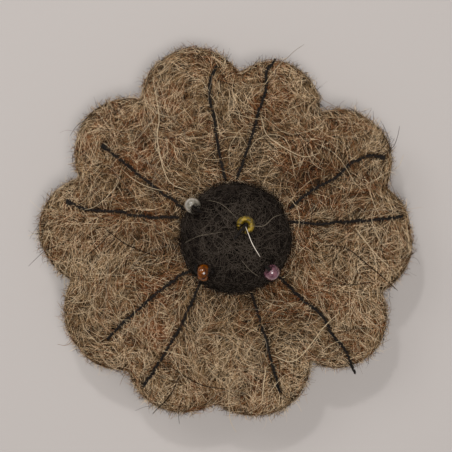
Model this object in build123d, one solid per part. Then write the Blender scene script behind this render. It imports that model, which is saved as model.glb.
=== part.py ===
from build123d import *
import os
from math import cos, pi, radians, sin, sqrt, tan

# A felted wool flower on a sprung hair clip, in millimetres. +Z comes out of the flower's
# face, the clip runs along X behind it, and z = 0 is the underside of the clip's thumb tab.

# Stack behind the flower
CLIP_HEIGHT = 8.0
GLUE_THICKNESS = 0.3
BACKING_THICKNESS = 1.2
BACKING_RADIUS = 16.0
GLUE_LENGTH = 34.0
GLUE_WIDTH = 5.6
GLUE_CENTRE_X = -1.0

# Felt flower: thick in the middle, thinner and lower at the rim
FELT_UNDERSIDE = CLIP_HEIGHT + GLUE_THICKNESS + BACKING_THICKNESS
FELT_THICKNESS = 4.5
FELT_TOP = FELT_UNDERSIDE + FELT_THICKNESS
FLOWER_RADIUS = 35.0
TOP_FLAT_RADIUS = 11.0
TOP_DROP = 4.8
UNDER_FLAT_RADIUS = 17.0
UNDER_DROP = 3.2

# The ten lobes, anticlockwise: the notch where each starts, then the crown of its arc
LOBES = [
    ((29.2, 7.9), (28.4, 18.6)),
    ((17.2, 21.6), (11.0, 30.7)),
    ((2.5, 28.6), (-8.5, 33.1)),
    ((-15.4, 23.9), (-24.4, 21.5)),
    ((-26.6, 9.5), (-34.1, 1.7)),
    ((-28.0, -8.9), (-28.2, -20.3)),
    ((-17.9, -25.7), (-9.5, -33.1)),
    ((-1.8, -31.6), (8.7, -33.4)),
    ((15.5, -23.6), (26.7, -22.4)),
    ((28.4, -11.2), (34.1, -0.9)),
]

# Sewn veins, each from its outer end to the felt ball
VEIN_THREAD = 0.68
VEIN_ROUTES = [
    [(-1.6, 29.6), (-2.8, 27.0), (-2.8, 23.2), (-2.1, 19.9), (-1.2, 13.7), (-0.1, 9.0)],
    [(8.9, 31.0), (7.3, 28.4), (7.2, 25.4), (5.8, 21.0), (4.4, 16.4), (1.9, 9.3)],
    [(28.5, 13.1), (25.7, 13.5), (22.3, 11.9), (19.1, 9.3), (16.0, 7.7), (11.2, 4.1)],
    [(31.8, 2.5), (27.0, 2.0), (21.0, 1.6), (16.0, 1.2), (11.3, 1.7)],
    [(23.3, -25.9), (21.5, -21.6), (18.9, -18.4), (17.0, -14.9), (13.2, -11.8), (9.3, -8.0)],
    [(9.8, -29.1), (8.2, -23.6), (7.1, -19.3), (5.9, -15.3), (4.6, -11.0)],
    [(-15.0, -28.0), (-11.3, -22.5), (-8.6, -18.0), (-6.7, -14.2), (-4.4, -8.8)],
    [(-21.4, -19.5), (-18.6, -16.7), (-14.6, -13.1), (-10.0, -9.3), (-6.0, -6.9)],
    [(-28.6, 5.3), (-24.9, 3.8), (-19.3, 3.4), (-14.9, 2.6), (-8.4, 2.3)],
    [(-22.2, 15.3), (-19.5, 13.3), (-16.6, 10.8), (-12.6, 7.6), (-7.2, 3.8)],
]

# Felt ball, a flattened dome that stands on the flower
BALL_CENTRE = (1.6, -1.3)
BALL_RADIUS = 9.75
BALL_HEIGHT = 8.2
BALL_WAIST = 3.4
BALL_SHOULDER = 3.2
BALL_FOOT_RADIUS = 7.6

# Glass seed beads. azimuth and reach place a bead on the ball as seen from its front, rise
# is its height over the felt, and axis is the direction of its hole.
BEAD_LENGTH = 1.85
BEAD_HOLE_RADIUS = 0.45
BEAD_ROUNDING = 0.7
BEAD_THREAD = 0.4
BEAD_THREAD_LEG = 3.0
BEAD_THREAD_TAIL = 2.0
BEADS = {
    "white": {"radius": 1.42, "azimuth": 142.4, "reach": 9.4, "rise": 6.3, "axis": (0.56, -0.43, 0.71)},
    "yellow": {"radius": 1.6, "azimuth": 52.4, "reach": 2.95, "rise": 7.75, "axis": (-0.05, -0.04, 1.0)},
    "amber": {"radius": 1.48, "azimuth": 227.2, "reach": 8.1, "rise": 6.9, "axis": (0.99, -0.05, 0.12)},
    "pink": {"radius": 1.42, "azimuth": -42.9, "reach": 8.7, "rise": 6.5, "axis": (-0.66, 0.61, 0.44)},
}

# Clip: a long upper arm that carries the flower and a sprung lower arm under it
HINGE_X = 9.0
HINGE_Z = 5.0
CLIP_TIP_X = -22.0
CLIP_TAIL_X = 24.0
ARM_THICKNESS = 0.8
ARM_HALF_WIDTH = 4.25
ARM_TIP_HALF_WIDTH = 3.0
ARM_FULL_WIDTH_X = 4.0
ARM_CORNER = 3.0
ARM_EDGE_ROUNDING = 0.25
EAR_RADIUS = 1.9
EAR_TOP_SPREAD = 2.8

JAW_THICKNESS = 0.7
JAW_HALF_WIDTH = 2.9
JAW_BEND_RADIUS = 1.2
JAW_CORNER = 1.4
JAW_LINE = [(-21.65, 6.45), (-18.6, 4.95), (6.6, 2.85), (17.6, 0.35), (23.65, 0.35)]
TOOTH_PITCH = 2.0
TOOTH_DEPTH = 0.9
TOOTH_TIP_Z = 7.05
TOOTH_START_X = -19.6
TOOTH_COUNT = 9
WALL_NOSE_Z = 5.5
WALL_RAMP = 2.0
WALL_HEEL_Z = 1.85
TAB_START_X = 13.0
TAB_CORNER = 2.2
RIB_RADIUS = 0.32
RIB_PLACES_X = [13.2, 14.4, 15.6]

PIN_RADIUS = 0.7
PIN_CLEARANCE = 0.05
RIVET_RADIUS = 1.25
RIVET_HEIGHT = 0.45
RIVET_DOME = 0.36

SPRING_WIRE = 0.7
SPRING_COIL_RADIUS = 1.3
SPRING_TURNS = 3.5
SPRING_PITCH = 0.76
SPRING_UPPER_SLOPE = 3.3
SPRING_LOWER_SLOPE = 16.6
SPRING_LEG = 7.6


def fall_radius(run, drop):
    """Radius of an arc that starts level and falls by drop over run."""
    return (run**2 + drop**2) / (2 * drop)


def felt_top(x, y):
    """Height of the felt's upper surface over a point of the flower."""
    radius = sqrt(x**2 + y**2)
    run = max(radius - TOP_FLAT_RADIUS, 0)
    bend = fall_radius(FLOWER_RADIUS - TOP_FLAT_RADIUS, TOP_DROP)
    return FELT_TOP - bend + sqrt(bend**2 - run**2)


def fall_arc(start_radius, start_z, drop):
    """Level start, then an arc down to the flower's rim, in the XZ plane."""
    run = FLOWER_RADIUS - start_radius
    bend = fall_radius(run, drop)
    half_z = start_z - bend + sqrt(bend**2 - (run / 2) ** 2)
    start = (start_radius, 0, start_z)
    middle = (start_radius + run / 2, 0, half_z)
    end = (FLOWER_RADIUS, 0, start_z - drop)
    return ThreePointArc(start, middle, end)


def tube(points, diameter):
    """Round thread along straight runs joined by the largest tangent arcs that fit."""
    corners = [Vector(*point) for point in points]
    radii = []
    for before, corner, after in zip(corners, corners[1:], corners[2:]):
        run_in = corner - before
        run_out = after - corner
        half_turn = radians(run_in.get_angle(run_out)) / 2
        radii.append(0.45 * min(run_in.length, run_out.length) / tan(half_turn))
    path = FilletPolyline(*corners, radius=radii)
    section = Plane(path @ 0, z_dir=path % 0) * Circle(diameter / 2)
    return sweep(section, path=path)


def felt_flower():
    """One felted sheet: a shallow domed disc cut to ten lobes."""
    rim_top = FELT_TOP - TOP_DROP
    rim_under = FELT_UNDERSIDE - UNDER_DROP
    profile = make_face([
        Line((0, 0, FELT_UNDERSIDE), (UNDER_FLAT_RADIUS, 0, FELT_UNDERSIDE)),
        fall_arc(UNDER_FLAT_RADIUS, FELT_UNDERSIDE, UNDER_DROP),
        Line((FLOWER_RADIUS, 0, rim_under), (FLOWER_RADIUS, 0, rim_top)),
        fall_arc(TOP_FLAT_RADIUS, FELT_TOP, TOP_DROP),
        Line((TOP_FLAT_RADIUS, 0, FELT_TOP), (0, 0, FELT_TOP)),
        Line((0, 0, FELT_TOP), (0, 0, FELT_UNDERSIDE)),
    ])
    starts = [notch for notch, crown in LOBES]
    ends = starts[1:] + starts[:1]
    arcs = [ThreePointArc(notch, crown, end) for (notch, crown), end in zip(LOBES, ends)]
    outline = extrude(make_face(arcs), FELT_TOP + 1)
    return revolve(profile, Axis.Z) & outline


def vein_thread(route):
    """Black thread that lies half sunk in the felt."""
    return tube([(x, y, felt_top(x, y)) for x, y in route], VEIN_THREAD)


def felt_ball():
    """Flattened dome: a flat foot, a rounded shoulder and a shallow crown."""
    shoulder_x = BALL_RADIUS - BALL_SHOULDER
    over_waist = BALL_HEIGHT - BALL_WAIST
    crown = (shoulder_x**2 + over_waist**2 - BALL_SHOULDER**2) / (2 * (over_waist - BALL_SHOULDER))
    crown_z = BALL_HEIGHT - crown
    reach = crown / (crown - BALL_SHOULDER)
    join = (shoulder_x * reach, 0, crown_z + (BALL_WAIST - crown_z) * reach)
    half_crown_x = join[0] / 2
    half_crown = (half_crown_x, 0, crown_z + sqrt(crown**2 - half_crown_x**2))
    waist = (BALL_RADIUS, 0, BALL_WAIST)
    foot = (BALL_FOOT_RADIUS, 0, 0)
    profile = make_face([
        ThreePointArc((0, 0, BALL_HEIGHT), half_crown, join),
        TangentArc(waist, join, tangent=(0, 0, 1), tangent_from_first=True),
        TangentArc(waist, foot, tangent=(0, 0, -1)),
        Line(foot, (0, 0, 0)),
        Line((0, 0, 0), (0, 0, BALL_HEIGHT)),
    ])
    return Pos(*BALL_CENTRE, FELT_TOP) * revolve(profile, Axis.Z)


def bead_plane(place):
    """Plane through a bead's middle, square to its hole, with X towards the bead's outside."""
    turn = radians(place["azimuth"])
    x = BALL_CENTRE[0] + place["reach"] * cos(turn)
    y = BALL_CENTRE[1] + place["reach"] * sin(turn)
    z = FELT_TOP + place["rise"]
    return Plane((x, y, z), z_dir=place["axis"])


def bead(place):
    """Short round glass bead with a hole and rounded ends."""
    body = Cylinder(place["radius"], BEAD_LENGTH)
    body = fillet(body.edges().filter_by(GeomType.CIRCLE), BEAD_ROUNDING)
    hole = Cylinder(BEAD_HOLE_RADIUS, BEAD_LENGTH + 1)
    return bead_plane(place) * (body - hole)


def bead_thread(place):
    """Stitch through a bead's hole, turned down into the wool at both ends."""
    middle = bead_plane(place)
    ball_heart = Vector(*BALL_CENTRE, FELT_TOP + BALL_WAIST)
    inward = (ball_heart - middle.origin).normalized()
    along = middle.z_dir
    over = BEAD_LENGTH / 2 + BEAD_THREAD
    side = inward - along * inward.dot(along)
    if side.length < 0.5:
        # the hole points into the wool: the stitch goes back over the bead's side
        side = middle.x_dir * -1
        beside = side * (place["radius"] + BEAD_THREAD)
        corners = [along * -BEAD_THREAD_LEG, along * over]
        corners += [along * over + beside, along * -BEAD_THREAD_TAIL + beside]
    else:
        drop = side.normalized() * BEAD_THREAD_LEG
        corners = [along * -over + drop, along * -over, along * over, along * over + drop]
    points = [tuple(middle.origin + corner) for corner in corners]
    return tube(points, BEAD_THREAD)


def backing_felt():
    """Round felt patch behind the flower."""
    disc = Cylinder(BACKING_RADIUS, BACKING_THICKNESS, align=(Align.CENTER, Align.CENTER, Align.MIN))
    return Pos(0, 0, CLIP_HEIGHT + GLUE_THICKNESS) * disc


def glue_pad():
    """Thin bed of glue between the clip and the felt patch."""
    bed = extrude(SlotOverall(GLUE_LENGTH, GLUE_WIDTH), GLUE_THICKNESS)
    return Pos(GLUE_CENTRE_X, 0, CLIP_HEIGHT) * bed


def side_plate(outline, near, far):
    """Flat plate in the XZ plane, on both sides of the clip from |y| = near to far."""
    plate = extrude(Plane.XZ * outline, far - near)
    right = Pos(0, -near, 0) * plate
    return right + mirror(right, Plane.XZ)


def hinge_bore(radius):
    """Cylinder along the hinge's axis, longer than the clip is wide."""
    return Pos(HINGE_X, 0, HINGE_Z) * Rot(90, 0, 0) * Cylinder(radius, 4 * ARM_HALF_WIDTH)


def arm_plan():
    """The upper arm seen from above: rounded narrow tip, taper, rounded wide tail."""
    tip_centre_x = CLIP_TIP_X + ARM_TIP_HALF_WIDTH
    tip_cut = ARM_TIP_HALF_WIDTH * cos(pi / 4)
    corner_x = CLIP_TAIL_X - ARM_CORNER
    corner_y = ARM_HALF_WIDTH - ARM_CORNER
    corner_cut = ARM_CORNER * cos(pi / 4)
    tip = (CLIP_TIP_X, 0)
    tip_side = (tip_centre_x, ARM_TIP_HALF_WIDTH)
    corner_start = (corner_x, ARM_HALF_WIDTH)
    corner_end = (CLIP_TAIL_X, corner_y)
    half = make_face([
        ThreePointArc(tip, (tip_centre_x - tip_cut, tip_cut), tip_side),
        Polyline(tip_side, (ARM_FULL_WIDTH_X, ARM_HALF_WIDTH), corner_start),
        ThreePointArc(corner_start, (corner_x + corner_cut, corner_y + corner_cut), corner_end),
        Polyline(corner_end, (CLIP_TAIL_X, 0), tip),
    ])
    return half + mirror(half, Plane.XZ)


def clip_upper_arm():
    """Flat arm with softened edges and two ears folded down round the pin."""
    plate = extrude(arm_plan(), ARM_THICKNESS)
    broad_faces = plate.faces().filter_by(Axis.Z)
    plate = fillet(broad_faces.edges(), ARM_EDGE_ROUNDING)
    plate = Pos(0, 0, CLIP_HEIGHT - ARM_THICKNESS) * plate
    top_z = CLIP_HEIGHT - ARM_THICKNESS / 2
    ear = Polyline(
        (HINGE_X - EAR_RADIUS, HINGE_Z),
        (HINGE_X + EAR_RADIUS, HINGE_Z),
        (HINGE_X + EAR_TOP_SPREAD, top_z),
        (HINGE_X - EAR_TOP_SPREAD, top_z),
        close=True,
    )
    ear_face = make_face(ear) + Pos(HINGE_X, HINGE_Z) * Circle(EAR_RADIUS)
    ears = side_plate(ear_face, ARM_HALF_WIDTH - ARM_THICKNESS, ARM_HALF_WIDTH)
    return plate + ears - hinge_bore(PIN_RADIUS)


def jaw_strip():
    """Bent strip of the lower arm: turned-up tip, jaw floor, lever and flat thumb tab."""
    line = FilletPolyline(*JAW_LINE, radius=JAW_BEND_RADIUS)
    outline = make_face(offset(line, JAW_THICKNESS / 2, side=Side.BOTH, kind=Kind.INTERSECTION))
    return extrude(Plane.XZ * outline, ARM_HALF_WIDTH, both=True)


def jaw_plan():
    """The lower arm seen from below: narrow jaw, wider lever with rounded corners."""
    jaw_length = TAB_START_X + JAW_CORNER - CLIP_TIP_X
    jaw = Rectangle(jaw_length, 2 * JAW_HALF_WIDTH)
    jaw = Pos(CLIP_TIP_X + jaw_length / 2, 0) * fillet(jaw.vertices(), JAW_CORNER)
    tab = Rectangle(CLIP_TAIL_X - TAB_START_X, 2 * ARM_HALF_WIDTH)
    tab = Pos((CLIP_TAIL_X + TAB_START_X) / 2, 0) * fillet(tab.vertices(), TAB_CORNER)
    return extrude(jaw + tab, CLIP_HEIGHT)


def toothed_wall():
    """Side wall of the lower jaw: a row of teeth, then a plain run to the ear."""
    points = []
    for tooth in range(TOOTH_COUNT):
        x = TOOTH_START_X + tooth * TOOTH_PITCH
        points += [(x, TOOTH_TIP_Z - TOOTH_DEPTH), (x + TOOTH_PITCH / 2, TOOTH_TIP_Z)]
    last_x = TOOTH_START_X + TOOTH_COUNT * TOOTH_PITCH
    points += [(last_x, TOOTH_TIP_Z - TOOTH_DEPTH), (last_x + WALL_RAMP, HINGE_Z)]
    points += [(HINGE_X + EAR_RADIUS, HINGE_Z), (HINGE_X + EAR_RADIUS, WALL_HEEL_Z)]
    points += [JAW_LINE[2], JAW_LINE[1], (TOOTH_START_X, WALL_NOSE_Z)]
    wall = make_face(Polyline(*points, close=True))
    return wall + Pos(HINGE_X, HINGE_Z) * Circle(EAR_RADIUS)


def lever_underside(x):
    """Height of the sloping lever's lower face."""
    start, end = JAW_LINE[2], JAW_LINE[3]
    slope = (end[1] - start[1]) / (end[0] - start[0])
    return start[1] + slope * (x - start[0]) - JAW_THICKNESS / 2 * sqrt(1 + slope**2)


def clip_lower_arm():
    """Sprung lower arm with toothed side walls, pin ears and grip ribs on its lever."""
    strip = jaw_strip() & jaw_plan()
    walls = side_plate(toothed_wall(), JAW_HALF_WIDTH - JAW_THICKNESS, JAW_HALF_WIDTH)
    arm = strip + walls
    rib = Rot(90, 0, 0) * Cylinder(RIB_RADIUS, 2 * JAW_HALF_WIDTH)
    for x in RIB_PLACES_X:
        arm += Pos(x, 0, lever_underside(x)) * rib
    return arm - hinge_bore(PIN_RADIUS + PIN_CLEARANCE)


def hinge_pin():
    """Rivet pin across both arms, headed outside the upper arm's ears."""
    shaft = Rot(90, 0, 0) * Cylinder(PIN_RADIUS, 2 * ARM_HALF_WIDTH)
    head = extrude(Circle(RIVET_RADIUS), RIVET_HEIGHT)
    head = fillet(head.faces().sort_by(Axis.Z)[-1].edges(), RIVET_DOME)
    far_head = Pos(0, ARM_HALF_WIDTH, 0) * Rot(-90, 0, 0) * head
    near_head = mirror(far_head, Plane.XZ)
    return Pos(HINGE_X, 0, HINGE_Z) * (shaft + far_head + near_head)


def torsion_spring():
    """Wire coil round the pin, with one leg under the upper arm and one on the lever."""
    first = 90 + SPRING_UPPER_SLOPE
    last = 270 - SPRING_LOWER_SLOPE
    turns = SPRING_TURNS + (last - first - 180) / 360
    height = turns * SPRING_PITCH
    # a helix runs about Z from +X, so it is turned to its first leg and laid along Y
    coil = Rot(0, 0, first) * Helix(SPRING_PITCH, height, SPRING_COIL_RADIUS)
    coil = Pos(HINGE_X, height / 2, HINGE_Z) * Rot(90, 0, 0) * coil
    start = coil @ 0
    end = coil @ 1
    first_leg = Line(start - (coil % 0) * SPRING_LEG, start)
    last_leg = Line(end, end + (coil % 1) * SPRING_LEG)
    path = Wire([first_leg.edge(), coil.edge(), last_leg.edge()])
    section = Plane(path @ 0, z_dir=path % 0) * Circle(SPRING_WIRE / 2)
    return sweep(section, path=path)


def main():
    nodes = {
        "felt_flower": felt_flower(),
        "felt_ball": felt_ball(),
        "backing_felt": backing_felt(),
        "glue_pad": glue_pad(),
        "clip_upper_arm": clip_upper_arm(),
        "clip_lower_arm": clip_lower_arm(),
        "hinge_pin": hinge_pin(),
        "torsion_spring": torsion_spring(),
    }
    for number, route in enumerate(VEIN_ROUTES, 1):
        nodes[f"vein_thread_{number:02d}"] = vein_thread(route)
    for colour, place in BEADS.items():
        nodes[f"bead_{colour}"] = bead(place)
        nodes[f"bead_thread_{colour}"] = bead_thread(place)
    os.makedirs("parts", exist_ok=True)
    for name, shape in nodes.items():
        export_step(shape, f"parts/{name}.step")


main()
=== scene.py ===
from math import pi, radians

import bpy
import numpy as np
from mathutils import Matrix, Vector


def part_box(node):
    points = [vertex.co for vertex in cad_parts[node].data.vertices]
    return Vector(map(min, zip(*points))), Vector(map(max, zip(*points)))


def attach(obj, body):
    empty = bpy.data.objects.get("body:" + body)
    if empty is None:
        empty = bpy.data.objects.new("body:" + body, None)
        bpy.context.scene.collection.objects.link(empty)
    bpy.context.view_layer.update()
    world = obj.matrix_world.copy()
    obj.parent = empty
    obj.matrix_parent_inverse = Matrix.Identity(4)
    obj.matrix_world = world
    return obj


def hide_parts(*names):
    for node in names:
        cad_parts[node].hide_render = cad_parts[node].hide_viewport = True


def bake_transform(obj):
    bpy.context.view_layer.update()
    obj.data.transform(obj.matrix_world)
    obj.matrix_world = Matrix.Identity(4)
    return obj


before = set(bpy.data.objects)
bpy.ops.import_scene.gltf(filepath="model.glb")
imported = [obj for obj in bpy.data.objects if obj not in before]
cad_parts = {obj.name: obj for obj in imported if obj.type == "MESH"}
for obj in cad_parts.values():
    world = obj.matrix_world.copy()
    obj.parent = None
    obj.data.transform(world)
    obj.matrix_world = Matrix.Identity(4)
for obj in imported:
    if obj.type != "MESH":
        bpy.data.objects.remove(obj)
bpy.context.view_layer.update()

# Lengths are in millimetres in the frame that the CAD model uses; add_mesh makes them metres.
MM = 0.001
FLOWER_BODY = "flower"


# ---------------- places from the frame
def node_box(node):
    """Lowest and highest corners of a CAD node, in millimetres."""
    low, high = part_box(node)
    return np.array(low) / MM, np.array(high) / MM


def node_middle(node):
    """Centre of a CAD node's box, in millimetres."""
    low, high = node_box(node)
    return (low + high) / 2


ball_low, ball_high = node_box("felt_ball")
backing_low, backing_high = node_box("backing_felt")
glue_low, glue_high = node_box("glue_pad")

FELT_TOP = node_box("felt_flower")[1][2]
FELT_UNDER = backing_high[2]
BALL_CENTRE = (ball_low[:2] + ball_high[:2]) / 2
BALL_RADIUS = (ball_high[0] - ball_low[0]) / 2
BALL_HEIGHT = ball_high[2] - ball_low[2]
HINGE = node_middle("hinge_pin")

# The shapes of the ball and the felt, as the CAD model has them. A face of the felt is level
# out to its flat radius, then falls along an arc to its drop at the rim.
BALL_WAIST, BALL_SHOULDER, BALL_FOOT = 3.4, 3.2, 7.6
RIM_RADIUS = 35.0
TOP_FLAT, TOP_DROP = 11.0, 4.8
UNDER_FLAT, UNDER_DROP = 17.0, 3.2
# each lobe: the notch where it starts, and its crown
LOBES = [
    ((29.2, 7.9), (28.4, 18.6)),
    ((17.2, 21.6), (11.0, 30.7)),
    ((2.5, 28.6), (-8.5, 33.1)),
    ((-15.4, 23.9), (-24.4, 21.5)),
    ((-26.6, 9.5), (-34.1, 1.7)),
    ((-28.0, -8.9), (-28.2, -20.3)),
    ((-17.9, -25.7), (-9.5, -33.1)),
    ((-1.8, -31.6), (8.7, -33.4)),
    ((15.5, -23.6), (26.7, -22.4)),
    ((28.4, -11.2), (34.1, -0.9)),
]
# each vein, from its outer end inwards
VEIN_ROUTES = [
    [(-1.6, 29.6), (-2.8, 27.0), (-2.8, 23.2), (-2.1, 19.9), (-1.2, 13.7), (-0.1, 9.0)],
    [(8.9, 31.0), (7.3, 28.4), (7.2, 25.4), (5.8, 21.0), (4.4, 16.4), (1.9, 9.3)],
    [(28.5, 13.1), (25.7, 13.5), (22.3, 11.9), (19.1, 9.3), (16.0, 7.7), (11.2, 4.1)],
    [(31.8, 2.5), (27.0, 2.0), (21.0, 1.6), (16.0, 1.2), (11.3, 1.7)],
    [(23.3, -25.9), (21.5, -21.6), (18.9, -18.4), (17.0, -14.9), (13.2, -11.8), (9.3, -8.0)],
    [(9.8, -29.1), (8.2, -23.6), (7.1, -19.3), (5.9, -15.3), (4.6, -11.0)],
    [(-15.0, -28.0), (-11.3, -22.5), (-8.6, -18.0), (-6.7, -14.2), (-4.4, -8.8)],
    [(-21.4, -19.5), (-18.6, -16.7), (-14.6, -13.1), (-10.0, -9.3), (-6.0, -6.9)],
    [(-28.6, 5.3), (-24.9, 3.8), (-19.3, 3.4), (-14.9, 2.6), (-8.4, 2.3)],
    [(-22.2, 15.3), (-19.5, 13.3), (-16.6, 10.8), (-12.6, 7.6), (-7.2, 3.8)],
]


# ---------------- small mathematics
def value_noise(x, y, size, seed):
    """Smooth random field from -1 to 1 whose features are about size across."""
    cells = 128
    grid = np.random.default_rng(seed).uniform(-1, 1, (cells, cells))
    u = np.asarray(x) / size + cells / 2
    v = np.asarray(y) / size + cells / 2
    i = np.floor(u).astype(int)
    j = np.floor(v).astype(int)
    fu = u - i
    fv = v - j
    fu = fu * fu * (3 - 2 * fu)
    fv = fv * fv * (3 - 2 * fv)
    i0, i1, j0, j1 = i % cells, (i + 1) % cells, j % cells, (j + 1) % cells
    low = grid[i0, j0] * (1 - fu) + grid[i1, j0] * fu
    high = grid[i0, j1] * (1 - fu) + grid[i1, j1] * fu
    return low * (1 - fv) + high * fv


def ring_angles(count):
    """Evenly spaced angles round a circle."""
    return np.arange(count) * 2 * pi / count


def ring_noise(angle, radius, size, seed):
    """Random unevenness round a circle, the same where the circle closes."""
    return value_noise(radius * np.cos(angle), radius * np.sin(angle), size, seed)


def bell(distance):
    """A smooth hump, 1 at no distance, that has faded beyond about 2."""
    return np.exp(-(distance**2))


def polar(radius, angle):
    """Points in the plane from their distance from the axis and their direction."""
    return np.stack([radius * np.cos(angle), radius * np.sin(angle)], -1)


def raised(flat, height):
    """Points in space from points in the plane and their heights."""
    return np.concatenate([flat, height[..., None]], -1)


def distances(line):
    """Distance from a line's start to each of its points."""
    steps = np.linalg.norm(np.diff(line, axis=0), axis=1)
    return np.concatenate([[0], np.cumsum(steps)])


def smooth_line(points, count):
    """A smooth line through a few given points, evenly spaced along its length."""
    p = np.asarray(points, float)
    p = np.vstack([2 * p[0] - p[1], p, 2 * p[-1] - p[-2]])
    t = np.linspace(0, len(p) - 3 - 1e-9, count * 3)
    i = t.astype(int)
    f = (t - i)[:, None]
    a, b, c, d = p[i], p[i + 1], p[i + 2], p[i + 3]
    line = 0.5 * (2 * b + (c - a) * f + (2 * a - 5 * b + 4 * c - d) * f**2)
    line += 0.5 * (3 * b - a - 3 * c + d) * f**3
    along = distances(line)
    wanted = np.linspace(0, along[-1], count)
    return np.stack([np.interp(wanted, along, line[:, k]) for k in range(line.shape[1])], 1)


def line_length(line):
    """Length of a line of points."""
    return np.linalg.norm(np.diff(line, axis=0), axis=1).sum()


def arc_points(start, crown, end, count):
    """Points of the circular arc through three points."""
    (ax, ay), (bx, by), (cx, cy) = start, crown, end
    d = 2 * (ax * (by - cy) + bx * (cy - ay) + cx * (ay - by))
    sa, sb, sc = ax**2 + ay**2, bx**2 + by**2, cx**2 + cy**2
    centre = np.array([
        (sa * (by - cy) + sb * (cy - ay) + sc * (ay - by)) / d,
        (sa * (cx - bx) + sb * (ax - cx) + sc * (bx - ax)) / d,
    ])
    angles = [np.arctan2(*(np.array(p) - centre)[::-1]) for p in (start, crown, end)]
    angles = np.unwrap(angles)
    turn = np.linspace(angles[0], angles[2], count)
    radius = np.hypot(*(np.array(start) - centre))
    return centre + polar(radius, turn)


# ---------------- the felt's shape
def outline_table():
    """Polar angle and radius round the ten lobes."""
    notches = [lobe[0] for lobe in LOBES]
    ends = notches[1:] + notches[:1]
    points = np.vstack([arc_points(n, c, e, 40)[:-1] for (n, c), e in zip(LOBES, ends)])
    angle = np.arctan2(points[:, 1], points[:, 0])
    order = np.argsort(angle)
    return angle[order], np.hypot(points[:, 0], points[:, 1])[order]


OUTLINE = outline_table()
# the hand-cut edge wavers by EDGE_WAVE, and lies EDGE_INSET inside the solid's under its wool
EDGE_WAVE, EDGE_INSET = 0.3, 0.45


def outline_radius(angle):
    """How far the felt reaches at a polar angle, with a hand-cut unevenness."""
    angle = np.asarray(angle)
    radius = np.interp(angle, *OUTLINE, period=2 * pi)
    return radius + EDGE_WAVE * ring_noise(angle, 20, 3.1, 5) - EDGE_INSET


def fall(radius, flat, drop):
    """How far a surface that is level out to flat has dropped at a radius."""
    run = RIM_RADIUS - flat
    bend = (run**2 + drop**2) / (2 * drop)
    out = np.clip(radius - flat, 0, run + 3)
    return bend - np.sqrt(bend**2 - out**2)


def nearest(x, y, points):
    """Distance from each place to the nearest of some points, worked out a block at a time."""
    flat = np.stack([x.ravel(), y.ravel()], 1)
    out = np.empty(len(flat))
    block = 20000
    for start in range(0, len(flat), block):
        gap = flat[start:start + block, None, :] - points[None, :, :]
        out[start:start + block] = np.sqrt((gap**2).sum(-1).min(1))
    return out.reshape(x.shape)


MAP_STEP = 0.25
MAP_REACH = 38.0
map_axis = np.arange(-MAP_REACH, MAP_REACH + MAP_STEP / 2, MAP_STEP)
MAP_X, MAP_Y = np.meshgrid(map_axis, map_axis, indexing="ij")
VEIN_LINES = [smooth_line(route, 60) for route in VEIN_ROUTES]
VEIN_MAP = nearest(MAP_X, MAP_Y, np.vstack(VEIN_LINES))

# The face swells between the veins. It sinks in a wide valley along each vein, and in a narrow
# groove under its stitches.
FACE_SWELL = 0.3
VALLEY_DEPTH, VALLEY_WIDTH = 0.4, 2.4
GROOVE_DEPTH, GROOVE_WIDTH = 0.55, 0.6
FACE_LUMPS, FACE_DIMPLES, BACK_LUMPS = 0.35, 0.08, 0.2
EDGE_ROUNDING = 2.2


def height_maps(x, y):
    """Upper and lower surface of the felt on a square grid."""
    radius = np.hypot(x, y)
    top = FELT_TOP - fall(radius, TOP_FLAT, TOP_DROP)
    under = FELT_UNDER - fall(radius, UNDER_FLAT, UNDER_DROP)
    outside_ball = np.clip((radius - BALL_RADIUS) / 3, 0, 1)
    outside_patch = np.clip((radius - UNDER_FLAT) / 4, 0, 1)
    lumps = FACE_LUMPS * value_noise(x, y, 6.0, 11) + FACE_DIMPLES * value_noise(x, y, 2.1, 12)
    top += outside_ball * (FACE_SWELL - GROOVE_DEPTH * bell(VEIN_MAP / GROOVE_WIDTH))
    top -= outside_ball * VALLEY_DEPTH * bell(VEIN_MAP / VALLEY_WIDTH)
    top += outside_ball * lumps
    under += BACK_LUMPS * value_noise(x, y, 4.0, 13) * outside_patch
    middle = (top + under) / 2
    edge = outline_radius(np.arctan2(y, x)) - radius
    round_edge = np.clip(edge / EDGE_ROUNDING, 0, 1)
    half = (top - under) / 2 * np.sqrt(1 - (1 - round_edge) ** 2)
    return middle + half, middle - half


TOP_MAP, UNDER_MAP = height_maps(MAP_X, MAP_Y)


def sample(height_map, x, y):
    """Height from a map at any place."""
    u = np.clip((np.asarray(x) + MAP_REACH) / MAP_STEP, 0, len(map_axis) - 1.001)
    v = np.clip((np.asarray(y) + MAP_REACH) / MAP_STEP, 0, len(map_axis) - 1.001)
    i = u.astype(int)
    j = v.astype(int)
    fu = u - i
    fv = v - j
    low = height_map[i, j] * (1 - fu) + height_map[i + 1, j] * fu
    high = height_map[i, j + 1] * (1 - fu) + height_map[i + 1, j + 1] * fu
    return low * (1 - fv) + high * fv


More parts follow.
